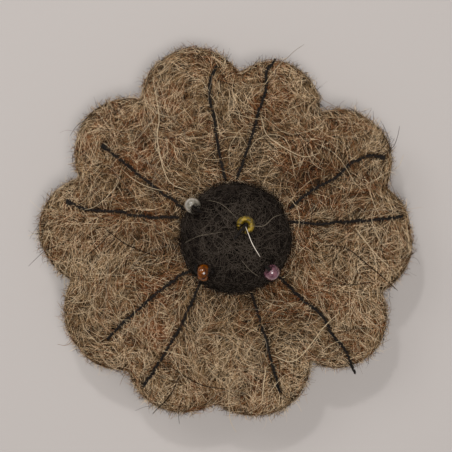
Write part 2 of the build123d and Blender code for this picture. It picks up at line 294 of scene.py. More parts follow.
# ---------------- mesh building
def add_mesh(name, points, faces, materials, face_slots=None):
    """A smooth-shaded object from points in millimetres and arrays of quads and triangles."""
    mesh = bpy.data.meshes.new(name)
    mesh.vertices.add(len(points))
    mesh.vertices.foreach_set("co", (np.asarray(points) * MM).astype(np.float32).ravel())
    loops = np.concatenate([part.ravel() for part in faces]).astype(np.int32)
    sizes = np.concatenate([np.full(len(part), part.shape[1]) for part in faces])
    starts = np.concatenate([[0], np.cumsum(sizes)[:-1]]).astype(np.int32)
    mesh.loops.add(len(loops))
    mesh.loops.foreach_set("vertex_index", loops)
    mesh.polygons.add(len(sizes))
    mesh.polygons.foreach_set("loop_start", starts)
    mesh.polygons.foreach_set("use_smooth", np.ones(len(sizes), bool))
    for material in materials:
        mesh.materials.append(material)
    if face_slots is not None:
        mesh.polygons.foreach_set("material_index", face_slots.astype(np.int32))
    mesh.update(calc_edges=True)
    mesh.validate()
    piece = bpy.data.objects.new(name, mesh)
    bpy.context.collection.objects.link(piece)
    return piece


def grid_faces(rows, columns, closed):
    """Quads of a grid of points, joined round its columns when closed."""
    row = np.arange(rows - 1)[:, None]
    column = np.arange(columns if closed else columns - 1)[None, :]
    right = (column + 1) % columns
    a = row * columns + column
    b = row * columns + right
    return np.stack([a, b, b + columns, a + columns], -1).reshape(-1, 4)


def capped_rings(rings, ends=None):
    """Points and faces of a stack of closed rings, with a fan of triangles over each end."""
    if ends is None:
        ends = [rings[0].mean(0), rings[-1].mean(0)]
    columns = len(rings[0])
    total = len(rings) * columns
    last = total - columns
    column = np.arange(columns)
    right = (column + 1) % columns
    first_fan = np.stack([np.full(columns, total), column, right], 1)
    last_fan = np.stack([np.full(columns, total + 1), last + right, last + column], 1)
    quads = grid_faces(len(rings), columns, True)[:, ::-1]
    return np.vstack([*rings, ends]), [np.vstack([first_fan, last_fan]), quads]


def tube_parts(paths, radii, sides, slots=None):
    """Points, faces and face slots of closed round threads.

    paths is (threads, knots, 3), radii is (threads, knots), slots is one number a thread.
    """
    threads, knots = paths.shape[:2]
    tangent = np.gradient(paths, axis=1)
    tangent /= np.linalg.norm(tangent, axis=2, keepdims=True) + 1e-9
    nearly_up = np.array([0.13, 0.07, 1.0])
    side = np.cross(tangent, nearly_up)
    side /= np.linalg.norm(side, axis=2, keepdims=True) + 1e-9
    up = np.cross(side, tangent)
    turn = ring_angles(sides)
    ring = side[:, :, None, :] * np.cos(turn)[:, None] + up[:, :, None, :] * np.sin(turn)[:, None]
    points = (paths[:, :, None, :] + radii[:, :, None, None] * ring).reshape(-1, 3)
    base = (np.arange(threads) * knots * sides)[:, None, None]
    row = (np.arange(knots - 1) * sides)[None, :, None]
    step = np.arange(sides)[None, None, :]
    a = base + row + step
    b = base + row + (step + 1) % sides
    quads = np.stack([a, b, b + sides, a + sides], -1).reshape(-1, 4)
    first = base[:, 0] + np.arange(sides)[::-1]
    last = base[:, 0] + (knots - 1) * sides + np.arange(sides)
    faces = [quads, np.vstack([first, last])]
    if slots is None:
        slots = np.zeros(threads, int)
    face_slots = np.concatenate([np.repeat(slots, (knots - 1) * sides), slots, slots])
    return points, faces, face_slots


def join_parts(parts):
    """One set of points, faces and slots from several."""
    points, faces, slots = [], {}, {}
    offset = 0
    for part_points, part_faces, part_slots in parts:
        start = 0
        for block in part_faces:
            size = block.shape[1]
            faces.setdefault(size, []).append(block + offset)
            slots.setdefault(size, []).append(part_slots[start:start + len(block)])
            start += len(block)
        points.append(part_points)
        offset += len(part_points)
    sizes = sorted(faces)
    all_faces = [np.vstack(faces[size]) for size in sizes]
    all_slots = np.concatenate([np.concatenate(slots[size]) for size in sizes])
    return np.vstack(points), all_faces, all_slots


# ---------------- materials
def srgb(red, green, blue):
    """Linear colour from 8-bit sRGB numbers."""
    c = np.array([red, green, blue]) / 255
    linear = np.where(c <= 0.04045, c / 12.92, ((c + 0.055) / 1.055) ** 2.4)
    return (*linear.tolist(), 1.0)


def set_inputs(node, values):
    """Give some of a node's inputs their values."""
    for name, value in values.items():
        node.inputs[name].default_value = value


def new_material(name, values):
    """A principled material with some inputs set, with its node tree and its shader."""
    material = bpy.data.materials.new(name)
    material.use_nodes = True
    shader = material.node_tree.nodes["Principled BSDF"]
    set_inputs(shader, values)
    return material, material.node_tree, shader


def plain_fibre(name, colour, gain=1.0, shine=0.1):
    """One tone of wool: matt, with a faint shine."""
    base = (*[min(c * gain, 1) for c in srgb(*colour)[:3]], 1)
    values = {"Base Color": base, "Roughness": 0.7, "Specular IOR Level": shine}
    return new_material(name, values)[0]


def mixed_colour(tree, colours, scale, detail, low, high, distortion=0.0):
    """Sockets of a noise: a colour that its value picks from a ramp, and the value itself."""
    coordinate = tree.nodes.new("ShaderNodeTexCoord")
    noise = tree.nodes.new("ShaderNodeTexNoise")
    set_inputs(noise, {"Scale": scale, "Detail": detail, "Distortion": distortion})
    ramp = tree.nodes.new("ShaderNodeValToRGB")
    elements = ramp.color_ramp.elements
    while len(elements) < len(colours):
        elements.new(0.5)
    for place, (element, colour) in enumerate(zip(elements, colours)):
        element.position = low + (high - low) * place / (len(colours) - 1)
        element.color = colour
    tree.links.new(coordinate.outputs["Object"], noise.inputs["Vector"])
    tree.links.new(noise.outputs["Fac"], ramp.inputs["Fac"])
    return ramp.outputs["Color"], noise.outputs["Fac"]


def bumped(tree, shader, height, strength, distance):
    """Give a shader a bump that follows a socket, up to a distance in metres."""
    bump = tree.nodes.new("ShaderNodeBump")
    set_inputs(bump, {"Strength": strength, "Distance": distance})
    tree.links.new(height, bump.inputs["Height"])
    tree.links.new(bump.outputs["Normal"], shader.inputs["Normal"])


def mottled(name, values, colours, noise, bump=None):
    """A material whose colour, and its bump if it has one, follow a noise."""
    material, tree, shader = new_material(name, values)
    colour, value = mixed_colour(tree, [srgb(*c) for c in colours], *noise)
    tree.links.new(colour, shader.inputs["Base Color"])
    if bump:
        bumped(tree, shader, value, *bump)
    return material, tree, shader, value


def felt_ground(name, colours):
    """Matted wool under the loose fibres: mottled colour and a fibrous bump."""
    matt = {"Roughness": 0.95, "Specular IOR Level": 0.1}
    return mottled(name, matt, colours, (900, 8, 0.3, 0.7, 1.5), (0.6, 0.0004))[0]


# Tones are 8-bit sRGB colours, and a gain is how much lighter all of them are rendered. The
# flower's are nine from dark to light, then a dark and a light warm brown, and a grey.
FELT_GAIN = 1.02
FELT_TONES = [
    (12, 8, 5), (33, 22, 12), (64, 45, 27), (90, 67, 43), (112, 86, 56), (132, 104, 71),
    (155, 124, 88), (184, 153, 116), (225, 200, 165), (98, 53, 27), (138, 84, 47), (118, 103, 83),
]
LIGHTEST, WARM_DARK, WARM_LIGHT, GREY = 8, 9, 10, 11
BALL_GAIN = 0.74
BALL_TONES = [(5, 4, 3), (12, 9, 7), (25, 20, 17), (44, 37, 32), (68, 59, 52), (98, 88, 78)]
BACKING_GAIN = 1.5
BACKING_TONES = [(34, 25, 17), (52, 40, 29), (70, 55, 41), (90, 72, 54), (118, 98, 76)]


# ---------------- fibres
def wander(rng, start, heading, length, knots, curl):
    """Flat random curves centred on some places: (fibres, knots, 2)."""
    count = len(start)
    step = (length / (knots - 1))[:, None]
    steady = rng.normal(0, curl, (count, 1))
    bend = steady + rng.normal(0, 0.6 * curl, (count, knots - 1))
    turn = heading[:, None] + np.cumsum(bend * step, axis=1)
    turn = turn - bend.mean(1, keepdims=True) * length[:, None] / 2
    moves = polar(step, turn)
    walk = np.concatenate([np.zeros((count, 1, 2)), np.cumsum(moves, axis=1)], axis=1)
    return start[:, None, :] + walk - walk.mean(1, keepdims=True)


LAY_SCATTER = 0.75


def lay_of_wool(rng, places):
    """Directions of fibres: they drift over the felt, with a wide scatter."""
    drift = pi * value_noise(places[:, 0], places[:, 1], 7.0, 41)
    return drift + rng.normal(0, LAY_SCATTER, len(places))


def arch(knots):
    """Rise and fall along a fibre, as a row."""
    return np.sin(np.linspace(0, pi, knots))[None, :]


def taper(radius, knots, tip=0.45):
    """Radii that thin towards both ends of each fibre."""
    return radius[:, None] * (tip + (1 - tip) * arch(knots).clip(0) ** 0.5)


def add_wool(name, parts, tones):
    """A piece of loose fibres that rides on the flower."""
    points, faces, slots = parts
    piece = add_mesh(name, points, faces, tones, slots)
    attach(piece, FLOWER_BODY)


# Uneven dyeing: lighter or darker patches of the felt, then warmer or cooler ones, each with its
# x, y and reach in millimetres and its amount.
LIGHT_PATCHES = [
    (-12.8, -14.1, 3.0, 1.2), (18.7, -5.7, 5.0, 0.7), (0.5, -19.0, 5.0, 1.0),
    (15.0, -25.0, 5.0, 0.8), (7.7, 10.0, 2.5, 0.8), (-11.5, 8.0, 4.0, 0.5),
    (-29.0, -3.0, 7.0, 0.5), (28.0, -10.0, 6.0, 0.6), (4.5, 20.0, 5.0, -1.3),
    (14.0, 9.5, 4.0, -0.8), (-18.5, 9.0, 3.5, -1.2), (7.0, -13.0, 3.0, -1.0),
    (10.0, 25.0, 5.0, -0.6), (-7.0, 9.0, 3.0, -0.5), (-9.0, -8.5, 3.0, -0.6),
    (17.0, 13.0, 7.0, -1.2), (-20.0, -6.0, 7.0, 1.0), (-14.0, 25.0, 5.0, 0.8),
    (-13.0, -9.5, 4.0, -0.9), (12.0, 10.0, 4.0, -0.8), (1.0, 12.0, 4.0, -0.6),
    (-5.5, -21.0, 5.0, 0.5),
]
WARM_PATCHES = [
    (-12.0, -18.0, 1.8, 2.6), (8.5, 25.0, 4.0, 0.5), (-18.0, 5.0, 5.0, 0.6),
    (16.0, -10.0, 3.5, 0.7), (14.5, -1.5, 2.5, 0.7), (23.0, 5.5, 3.5, 0.6),
    (-14.5, 11.5, 3.5, 0.8), (-12.5, -10.5, 2.5, 0.7), (8.0, -13.0, 3.0, 0.6),
    (7.7, 10.0, 3.0, -0.6), (-6.5, -17.0, 3.5, -0.9), (14.0, -26.0, 4.0, -0.4),
]


def patches(x, y, spots):
    """Sum of soft round spots at some places."""
    total = np.zeros(np.shape(x))
    for spot_x, spot_y, reach, amount in spots:
        total += amount * np.exp(-((x - spot_x) ** 2 + (y - spot_y) ** 2) / reach**2)
    return total


# A fibre's tone starts from FELT_LEVEL. It grows lighter with the felt's patches, towards the
# rim and with the fibre's height over the face (painted shade on low fibres, painted light on
# raised ones), and scatters by FELT_SPREAD.
FELT_LEVEL = 4.0
FELT_LIGHT_TONE = 0.85
LIGHT_OUTWARDS = 3.0
FELT_HEIGHT_SHADE = 3.0
FELT_SPREAD = 3.5
WARM_SHARE, GREY_FROM = 0.45, 0.87


def tone_choice(rng, x, y, lift):
    """Tone of each fibre in uneven patches, with painted shade on deep ones and light on loose
    ones.
    """
    light = 0.6 * value_noise(x, y, 8.0, 21) + patches(x, y, LIGHT_PATCHES)
    light = light + LIGHT_OUTWARDS * (np.hypot(x, y) / RIM_RADIUS - 0.65)
    warm = 0.4 + 0.6 * value_noise(x, y, 2.8, 23) + 0.35 * value_noise(x, y, 8.0, 24)
    warm = warm + patches(x, y, WARM_PATCHES)
    # the height term paints shade on low fibres and light on raised ones
    level = FELT_LEVEL + FELT_LIGHT_TONE * light + FELT_HEIGHT_SHADE * lift
    level = level + rng.normal(0, FELT_SPREAD, len(x))
    tone = np.clip(np.round(level), 0, LIGHTEST).astype(int)
    draw = rng.uniform(0, 1, len(x))
    middling = (tone > 0) & (tone < LIGHTEST)
    warm_now = middling & (draw < WARM_SHARE * warm)
    tone = np.where(warm_now, np.where(tone < LIGHTEST / 2, WARM_DARK, WARM_LIGHT), tone)
    grey_now = middling & ~warm_now & (draw > GREY_FROM + 0.2 * warm)
    return np.where(grey_now, GREY, tone)


# numbers of fibres on a lobe: its matted face, the loose ones over it, its back and its rim
LOBE_LOW = 8600
LOBE_LOOSE = 280
LOBE_BACK = 2200
LOBE_RIM = 420
# how far inside the rim the wool starts to turn back
RIM_TURN = 0.6
# share of the fibres that cross a vein over its stitches: everywhere, and more near the ball
VEIN_CROSSINGS, INNER_CROSSINGS = 0.1, 0.3


def lobe_angles(number):
    """Polar angles between which a lobe lies."""
    first = LOBES[number][0]
    following = LOBES[(number + 1) % len(LOBES)][0]
    low = np.arctan2(first[1], first[0])
    high = np.arctan2(following[1], following[0])
    return low, high + (2 * pi if high < low else 0)


def lobe_roots(rng, number, count, inner):
    """Even random places over one lobe's sector, outside inner of its radius."""
    low, high = lobe_angles(number)
    angle = rng.uniform(low, high, count * 3)
    reach = np.sqrt(rng.uniform(inner**2, 1, count * 3))
    keep = rng.uniform(0, RIM_RADIUS**2, count * 3) < outline_radius(angle) ** 2
    angle, reach = angle[keep][:count], reach[keep][:count]
    return polar(reach * outline_radius(angle), angle)


def keep_on_felt(rng, path):
    """Fold most fibres that would leave the rim back along it, and let a few stand out."""
    freedom = rng.uniform(-1.2, 0.8, (len(path), 1)).clip(0)
    x, y = path[..., 0], path[..., 1]
    radius = np.hypot(x, y)
    limit = outline_radius(np.arctan2(y, x)) - RIM_TURN
    over = radius - limit
    folded = limit + RIM_TURN * np.tanh(over / RIM_TURN) + freedom * over
    return path * np.where(over > 0, folded / np.maximum(radius, 1e-6), 1.0)[..., None]


def felt_paths(rng, start, length, knots, curl):
    """Flat paths of fibres that start on a lobe and keep to the felt's outline."""
    heading = lay_of_wool(rng, start)
    path = wander(rng, start, heading, rng.uniform(*length, len(start)), knots, curl)
    return keep_on_felt(rng, path)


def face_wool(rng, number, count, knots, length, curl, lift, stand, thick):
    """Fibres on a lobe's face. They dip out of the way of the sewn veins."""
    start = lobe_roots(rng, number, count, 0.2)
    path = felt_paths(rng, start, length, knots, curl)
    x, y = path[..., 0], path[..., 1]
    base = rng.uniform(*lift, (len(start), 1))
    rise = base + rng.exponential(stand, (len(start), 1)) * arch(knots)
    inner = np.clip((19 - np.hypot(start[:, :1], start[:, 1:])) / 8, 0, 1)
    crossings = VEIN_CROSSINGS + INNER_CROSSINGS * inner
    over_vein = rng.uniform(0, 1, (len(start), 1)) < crossings
    rise = rise - np.where(over_vein, 0.0, 0.45) * bell(sample(VEIN_MAP, x, y) / 0.38)
    # low-rooted fibres get painted shade and raised ones painted light, through their tone
    tones = tone_choice(rng, start[:, 0], start[:, 1], base[:, 0])
    radii = taper(rng.uniform(*thick, len(start)), knots)
    return tube_parts(raised(path, sample(TOP_MAP, x, y) + rise), radii, 3, tones)


def back_wool(rng, number, count, knots):
    """Fibres on the back of a lobe, matted flatter than its face."""
    start = lobe_roots(rng, number, count, 0.42)
    path = felt_paths(rng, start, (1.8, 4.5), knots, 0.35)
    x, y = path[..., 0], path[..., 1]
    drop = rng.uniform(-0.08, 0.12, (len(start), 1))
    drop = drop + rng.exponential(0.1, (len(start), 1)) * arch(knots)
    z = sample(UNDER_MAP, x, y) - drop
    z = np.where(np.hypot(x, y) < UNDER_FLAT, np.maximum(z, FELT_UNDER + 0.02), z)
    # fibres that hang further off the back get lighter tones: painted light
    tones = tone_choice(rng, start[:, 0], start[:, 1], drop[:, 0])
    radii = taper(rng.uniform(0.035, 0.06, len(start)), knots)
    return tube_parts(raised(path, z), radii, 3, tones)


def rim_wool(rng, number, count, knots):
    """Fine hairs that leave a lobe's edge outwards, some of them dark."""
    angle = rng.uniform(*lobe_angles(number), count)
    start = polar(outline_radius(angle) - rng.uniform(0.1, 0.9, count), angle)
    start_x, start_y = start[:, :1], start[:, 1:]
    length = (rng.gamma(1.8, 0.36, count) + 0.4)[:, None]
    share = np.linspace(0, 1, knots)[None, :]
    heading = (angle + rng.normal(0, 0.8, count))[:, None]
    turn = heading + rng.normal(0, 0.5, (count, 1)) * length * share
    step = length / (knots - 1)
    x = start_x + (np.cumsum(np.cos(turn), 1) - np.cos(turn[:, :1])) * step
    y = start_y + (np.cumsum(np.sin(turn), 1) - np.sin(turn[:, :1])) * step
    mix = rng.uniform(0.05, 0.95, (count, 1))
    top, under = sample(TOP_MAP, start_x, start_y), sample(UNDER_MAP, start_x, start_y)
    z = mix * top + (1 - mix) * under + rng.normal(0, 0.25, (count, 1)) * length * share
    # rim hairs are given the tone of raised fibres, painted lighter against the shade they lie in
    tones = tone_choice(rng, start[:, 0], start[:, 1], np.full(count, 0.4))
    dark = rng.uniform(0, 1, count) < 0.2
    tones = np.where(dark, rng.integers(0, 3, count), tones)
    radii = rng.uniform(0.018, 0.036, count)[:, None] * np.linspace(1, 0.4, knots)[None, :]
    return tube_parts(np.stack([x, y, z], -1), radii, 3, tones)


def lobe_wool(number):
    """Loose wool of one lobe, as a piece for its face and one for its back and rim."""
    rng = np.random.default_rng(100 + number)
    low = face_wool(rng, number, LOBE_LOW, 4, (1.4, 3.8), 0.2, (-0.22, 0.15), 0.04, (0.02, 0.041))
    loose = face_wool(
        rng, number, LOBE_LOOSE, 8, (2.5, 6.5), 0.16, (0.03, 0.15), 0.13, (0.022, 0.038)
    )
    back = back_wool(rng, number, LOBE_BACK, 5)
    rim = rim_wool(rng, number, LOBE_RIM, 7)
    for side, parts in (("face", [low, loose]), ("back", [back, rim])):
        name = f"lobe_{number + 1:02d}_{side}_wool"
        add_wool(name, join_parts(parts), felt_tone_materials)

# long loose hairs that stand out: tone, thickness and route as seen from above, in millimetres
STRAY_HAIRS = [
    ("cream", 0.16, [(-13.1, 27.5), (-11.9, 20.3), (-12.2, 16.3), (-10.3, 9.1), (-6.5, 7.0)]),
    ("cream", 0.15, [(6.3, 20.3), (7.6, 16.7), (13.3, 13.3), (16.6, 13.8)]),
    ("cream", 0.16, [(8.1, -22.2), (12.4, -23.1), (17.5, -17.1), (20.2, -14.6)]),
    ("cream", 0.15, [(23.0, 0.5), (26.8, -4.2), (30.1, -7.2)]),
    ("cream", 0.17, [(7.2, -24.3), (6.8, -26.7), (6.5, -30.3)]),
    ("dark", 0.21, [(-10.1, -24.2), (-4.7, -27.4), (0.0, -28.3)]),
    ("dark", 0.21, [(-8.3, -26.0), (-10.1, -29.6), (-13.3, -33.2)]),
    ("dark", 0.22, [(-21.6, 0.5), (-20.5, -0.4), (-17.3, -2.6), (-12.4, -4.5)]),
    ("dark", 0.20, [(-20.6, -0.4), (-22.6, -2.6), (-25.4, -4.9)]),
    ("dark", 0.20, [(17.3, -2.6), (21.4, -3.1), (25.6, -6.3), (31.0, -10.8)]),
    ("dark", 0.15, [(18.2, -9.4), (22.5, -9.6), (26.8, -9.0)]),
    ("pale", 0.08, [(-3.2, 5.4), (-0.7, 4.6), (1.8, 2.3)]),
    ("pale", 0.11, [(3.8, 0.9), (6.5, 0.9), (8.5, 2.5), (11.5, 3.2)]),
    ("pale", 0.07, [(-8.1, -2.6), (-4.7, -0.9), (-0.7, -0.2)]),
    ("pale", 0.09, [(2.7, -5.1), (4.2, -6.8), (5.9, -8.1)]),
    ("cream", 0.10, [(10.6, 6.4), (12.6, 4.1), (13.0, 1.6), (12.4, -1.1)]),
    ("white", 0.16, [(3.3, 1.0), (3.9, -0.6), (4.6, -2.3), (5.9, -4.5)]),
]
STRAY_TONES = {
    "cream": (206, 186, 154), "dark": (27, 16, 10), "pale": (128, 117, 101),
    "white": (226, 216, 202), "brown": (120, 90, 58),
}
# fainter ones, laid at random: how many, and how often each tone comes
STRAY_COUNT = 120
STRAY_MIX = ("cream", "brown", "dark", "cream", "pale", "dark")


def ball_top(x, y):
    """Height of the ball's upper surface over a place, or the felt's beside it."""
    out = np.hypot(x - BALL_CENTRE[0], y - BALL_CENTRE[1])
    crown, slant, shoulder = ball_arcs()
    join = crown * np.sin(slant)
    on_crown = BALL_HEIGHT - crown + np.sqrt(np.clip(crown**2 - out**2, 0, None))
    side = np.clip(out - shoulder, 0, BALL_SHOULDER)
    on_shoulder = BALL_WAIST + np.sqrt(BALL_SHOULDER**2 - side**2)
    height = np.where(out < join, on_crown, on_shoulder)
    felt = sample(TOP_MAP, x, y)
    return np.where(out < BALL_RADIUS, np.maximum(FELT_TOP + height, felt), felt)


# half width and half height of a bead that lies on its side, as seen from above
TILTED_BEAD_WIDE, TILTED_BEAD_TALL = 1.38, 1.33


def cover_height(x, y):
    """Height of whatever is uppermost over a place: felt, ball or bead."""
    height = ball_top(x, y)
    for colour, axis in BEAD_AXES.items():
        centre = node_middle(f"bead_{colour}")
        wide, tall, power = TILTED_BEAD_WIDE, TILTED_BEAD_TALL, 0.5
        if axis[2] > 0.9:
            wide, tall, power = BEAD_RADII[colour], BEAD_LENGTH / 2, 0.2
        inside = np.clip(1 - ((x - centre[0]) ** 2 + (y - centre[1]) ** 2) / wide**2, 0, None)
        dome = np.where(inside > 0, centre[2] + tall * inside**power, -99.0)
        height = np.maximum(height, dome)
    return height


# Where the ball's wool laps over a bead: direction from its centre and scatter, in degrees,
# nearest and furthest distance in millimetres, number of hairs, and how far they lie across
# the bead's edge, from 0 along it to 1 square to it.
BEAD_LAPS = {
    "white": (-50, 32, 0.9, 1.9, 34, 0.3),
    "yellow": (228, 36, 0.7, 1.9, 22, 0.9),
    "amber": (0, 45, 0.8, 1.6, 44, 0.3),
    "pink": (140, 40, 1.5, 2.0, 16, 0.3),
}


def bead_laps(colour):
    """Curls of the ball's wool that cross the edge of a sunken bead."""
    side, scatter, near, far, count, across = BEAD_LAPS[colour]
    rng = np.random.default_rng(600 + len(colour))
    turn = np.radians(side + rng.normal(0, scatter, count))
    reach = rng.uniform(near, far, count)
    start = node_middle(f"bead_{colour}")[:2] + polar(reach, turn)
    heading = turn + pi / 2 * (1 - across) + rng.normal(0, 0.5, count)
    knots = 14
    path = wander(rng, start, heading, rng.uniform(1.6, 3.4, count), knots, 0.6)
    lift = rng.uniform(0.03, 0.2, (count, 1))
    z = cover_height(path[..., 0], path[..., 1]) + lift
    tones = rng.integers(0, len(BALL_TONES) - 1, count)
    radii = taper(rng.uniform(0.03, 0.06, count), knots)
    parts = tube_parts(raised(path, z), radii, 4, tones)
    add_wool(f"wool_over_{colour}_bead", parts, ball_tone_materials)


def stray_hairs():
    """Long hairs that lie loosely over the flower."""
    rng = np.random.default_rng(500)
    names = list(STRAY_TONES)
    knots = 24
    paths, radii, slots = [], [], []
    routes = list(STRAY_HAIRS)
    for number in range(STRAY_COUNT):
        spot = lobe_roots(rng, number % len(LOBES), 1, 0.45)
        length = rng.uniform(5, 13, 1)
        path = wander(rng, spot, rng.uniform(0, 2 * pi, 1), length, 6, 0.13)[0]
        tone = STRAY_MIX[rng.integers(0, len(STRAY_MIX))]
        routes.append((tone, rng.uniform(0.07, 0.11), [tuple(place) for place in path]))
    for tone, thick, route in routes:
        line = smooth_line(route, knots)
        lift = 0.22 + 0.4 * arch(knots)[0] * rng.uniform(0.4, 1.2)
        z = cover_height(line[:, 0], line[:, 1])
        smoothed = np.convolve(np.pad(z, 2, mode="edge"), np.ones(5) / 5, mode="valid")
        paths.append(raised(line, smoothed + lift))
        radii.append(0.42 * thick * (0.5 + 0.5 * arch(knots)[0] ** 0.5))
        slots.append(names.index(tone))
    parts = tube_parts(np.array(paths), np.array(radii), 5, np.array(slots))
    tones = [plain_fibre(f"stray_{name}", STRAY_TONES[name]) for name in names]
    add_wool("stray_hairs", parts, tones)


# ---------------- felt flower
def felt_flower():
    """The matted body of the flower: both faces on one polar grid, meeting at a rounded rim."""
    angle = ring_angles(540)
    edge = outline_radius(angle)
    shares = 1 - (1 - np.linspace(0.02, 1, 58)) ** 1.7
    rings = []
    for height_map, run in ((TOP_MAP, shares), (UNDER_MAP, shares[-2::-1])):
        for share in run:
            flat = polar(share * edge, angle)
            rings.append(raised(flat, sample(height_map, flat[:, 0], flat[:, 1])))
    ends = [(0, 0, ring[:, 2].mean()) for ring in (rings[0], rings[-1])]
    points, faces = capped_rings(rings, ends)
    # the ground is coloured darker than its wool: painted shade in the gaps between the fibres
    ground = felt_ground("shade_dark_matted_wool", [(16, 10, 6), (34, 25, 16), (54, 41, 28), (78, 60, 42)])
    piece = add_mesh("felt_flower_body", points, faces, [ground])
    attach(piece, FLOWER_BODY)
    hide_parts("felt_flower")


# ---------------- veins
# A back stitch: its length along the vein, how far its thread runs back and on past it, and how
# it slants, rises out of the felt and dives into it.
STITCH_LENGTH = 1.9
STITCH_BACK, STITCH_ON = 0.1, 0.28
STITCH_SLANT, STITCH_RISE, STITCH_DIVE = 0.16, 0.34, 0.3
STITCH_KNOTS = 16
# two twisted strands: length of a twist, distance from the middle, and radius
FACE_STRAND = (1.3, 0.145, 0.16)
BACK_STRAND = (1.15, 0.14, 0.15)
BACK_STITCH_HALF, BACK_STITCH_SAG = 0.55, 0.16
# the veins that end in a small knot: its length along the vein, loops, radius and thread radius
KNOTTED_VEINS = (2, 8, 9)
KNOT_LENGTH, KNOT_LOOPS, KNOT_RADIUS, KNOT_THREAD = 0.9, 2.6, 0.34, 0.2
# fine hairs that stand off a vein's thread
FUZZ_COUNT, FUZZ_RADIUS = 40, 0.018


def strand_paths(line, twist_pitch, offset, phases):
    """Strands twisted round a centre line."""
    tangent = np.gradient(line, axis=0)
    tangent /= np.linalg.norm(tangent, axis=1, keepdims=True)
    side = np.cross(tangent, [0, 0, 1.0])
    side /= np.linalg.norm(side, axis=1, keepdims=True) + 1e-9
    up = np.cross(side, tangent)
    along = distances(line)
    paths = []
    for phase in phases:
        turn = 2 * pi * along / twist_pitch + phase
        paths.append(line + offset * (np.cos(turn)[:, None] * side + np.sin(turn)[:, None] * up))
    return paths


def beside(line, s, side_step):
    """Places at shares s of a flat line, side_step to its left."""
    share = np.linspace(0, 1, len(line))
    here, ahead, behind = (
        np.stack([np.interp(s + shift, share, line[:, axis]) for axis in (0, 1)])
        for shift in (0, 0.01, -0.01)
    )
    dx, dy = ahead - behind
    size = np.hypot(dx, dy) + 1e-9
    return here[0] - dy / size * side_step, here[1] + dx / size * side_step


def vein(number, material):
    """Back-stitched black thread: stitches on the face, short ones on the back."""
    rng = np.random.default_rng(300 + number)
    line = VEIN_LINES[number]
    length = line_length(line)
    stitches = int(round(length / STITCH_LENGTH))
    t = np.linspace(0, 1, STITCH_KNOTS)
    hump = np.sin(pi * t)
    paths, radii = [], []

    for stitch in range(stitches):
        start = stitch / stitches - STITCH_BACK / length
        end = (stitch + 1) / stitches + STITCH_ON / length
        s = np.clip(np.linspace(start, end, STITCH_KNOTS), 0, 1)
        x, y = beside(line, s, STITCH_SLANT * (t - 0.5) + rng.normal(0, 0.07))
        rise = STITCH_RISE * hump**0.5 - 0.02 - STITCH_DIVE * (1 - hump) ** 4
        stitch_line = np.stack([x, y, sample(TOP_MAP, x, y) + rise], 1)
        twist, offset, radius = FACE_STRAND
        phases = rng.uniform(0, 2), rng.uniform(0, 2) + pi
        paths += strand_paths(stitch_line, twist, offset, phases)
        radii += [radius * (0.8 + 0.2 * hump**0.5)] * len(phases)
        if np.hypot(x[0], y[0]) > UNDER_FLAT + 0.6 and stitch > 0:
            run = np.linspace(-BACK_STITCH_HALF, BACK_STITCH_HALF, STITCH_KNOTS)
            x, y = beside(line, stitch / stitches + run / length, rng.normal(0, 0.05))
            z = sample(UNDER_MAP, x, y) - BACK_STITCH_SAG * hump**0.5 + 0.08
            twist, offset, radius = BACK_STRAND
            phases = 0.4, 0.4 + pi
            paths += strand_paths(np.stack([x, y, z], 1), twist, offset, phases)
            radii += [np.full(STITCH_KNOTS, radius)] * len(phases)
    parts = [tube_parts(np.array(paths), np.array(radii), 6)]
    if number in KNOTTED_VEINS:
        parts.append(vein_knot(line))
    parts.append(thread_fuzz(rng, np.array(paths)))
    points, faces, slots = join_parts(parts)
    piece = add_mesh(f"vein_{number + 1:02d}_stitches", points, faces, [material], slots)
    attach(piece, FLOWER_BODY)
    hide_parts(f"vein_thread_{number + 1:02d}")


def vein_knot(line):
    """A small knot at the outer end of a vein."""
    t = np.linspace(0, 1, 40)
    x, y = beside(line, t * KNOT_LENGTH / line_length(line), 0.0)
    turn = t * 2 * pi * KNOT_LOOPS
    dx, dy = x[-1] - x[0], y[-1] - y[0]
    size = np.hypot(dx, dy)
    sideways = KNOT_RADIUS * np.cos(turn)
    z = sample(TOP_MAP, x, y) + 0.15 + KNOT_RADIUS * np.sin(turn)
    path = np.stack([x - dy / size * sideways, y + dx / size * sideways, z], 1)
    return tube_parts(path[None], np.full((1, len(t)), KNOT_THREAD), 8)


def thread_fuzz(rng, paths):
    """Fine hairs that stand off a thread."""
    which = rng.integers(0, len(paths), FUZZ_COUNT)
    where = rng.integers(2, paths.shape[1] - 2, FUZZ_COUNT)
    aim = rng.normal(0, 1, (FUZZ_COUNT, 3))
    aim[:, 2] = np.abs(aim[:, 2]) * 0.5
    aim /= np.linalg.norm(aim, axis=1, keepdims=True)
    length = rng.uniform(0.3, 0.8, FUZZ_COUNT)
    t = np.linspace(0, 1, 5)
    hairs = paths[which, where][:, None, :] + aim[:, None, :] * (length[:, None] * t)[..., None]
    hairs[..., 2] -= 0.15 * t**2
    radii = FUZZ_RADIUS * np.linspace(1, 0.5, len(t))[None, :] * np.ones((FUZZ_COUNT, 1))
    return tube_parts(hairs, radii, 3)


def thread_material(name):
    """Waxed black thread with brown lights."""
    waxed = {"Roughness": 0.65, "Specular IOR Level": 0.2}
    colours = [(7, 5, 4), (22, 17, 14), (44, 36, 30)]
    return mottled(name, waxed, colours, (4000, 4, 0.35, 0.7), (0.4, 0.0001))[0]


# ---------------- felt ball
# how far the ball's matted body lies under the outside of its wool
BALL_SINK = 0.75
# how much longer the tucked-in foot is than it is tall
FOOT_STRETCH = 1.15
# the wool is laid in sectors, with so many curls in each
BALL_SECTORS, BALL_CURLS = 6, 2700
# radius of the ball's surface rolled out flat, crown to foot
BALL_FLAT = 14.0
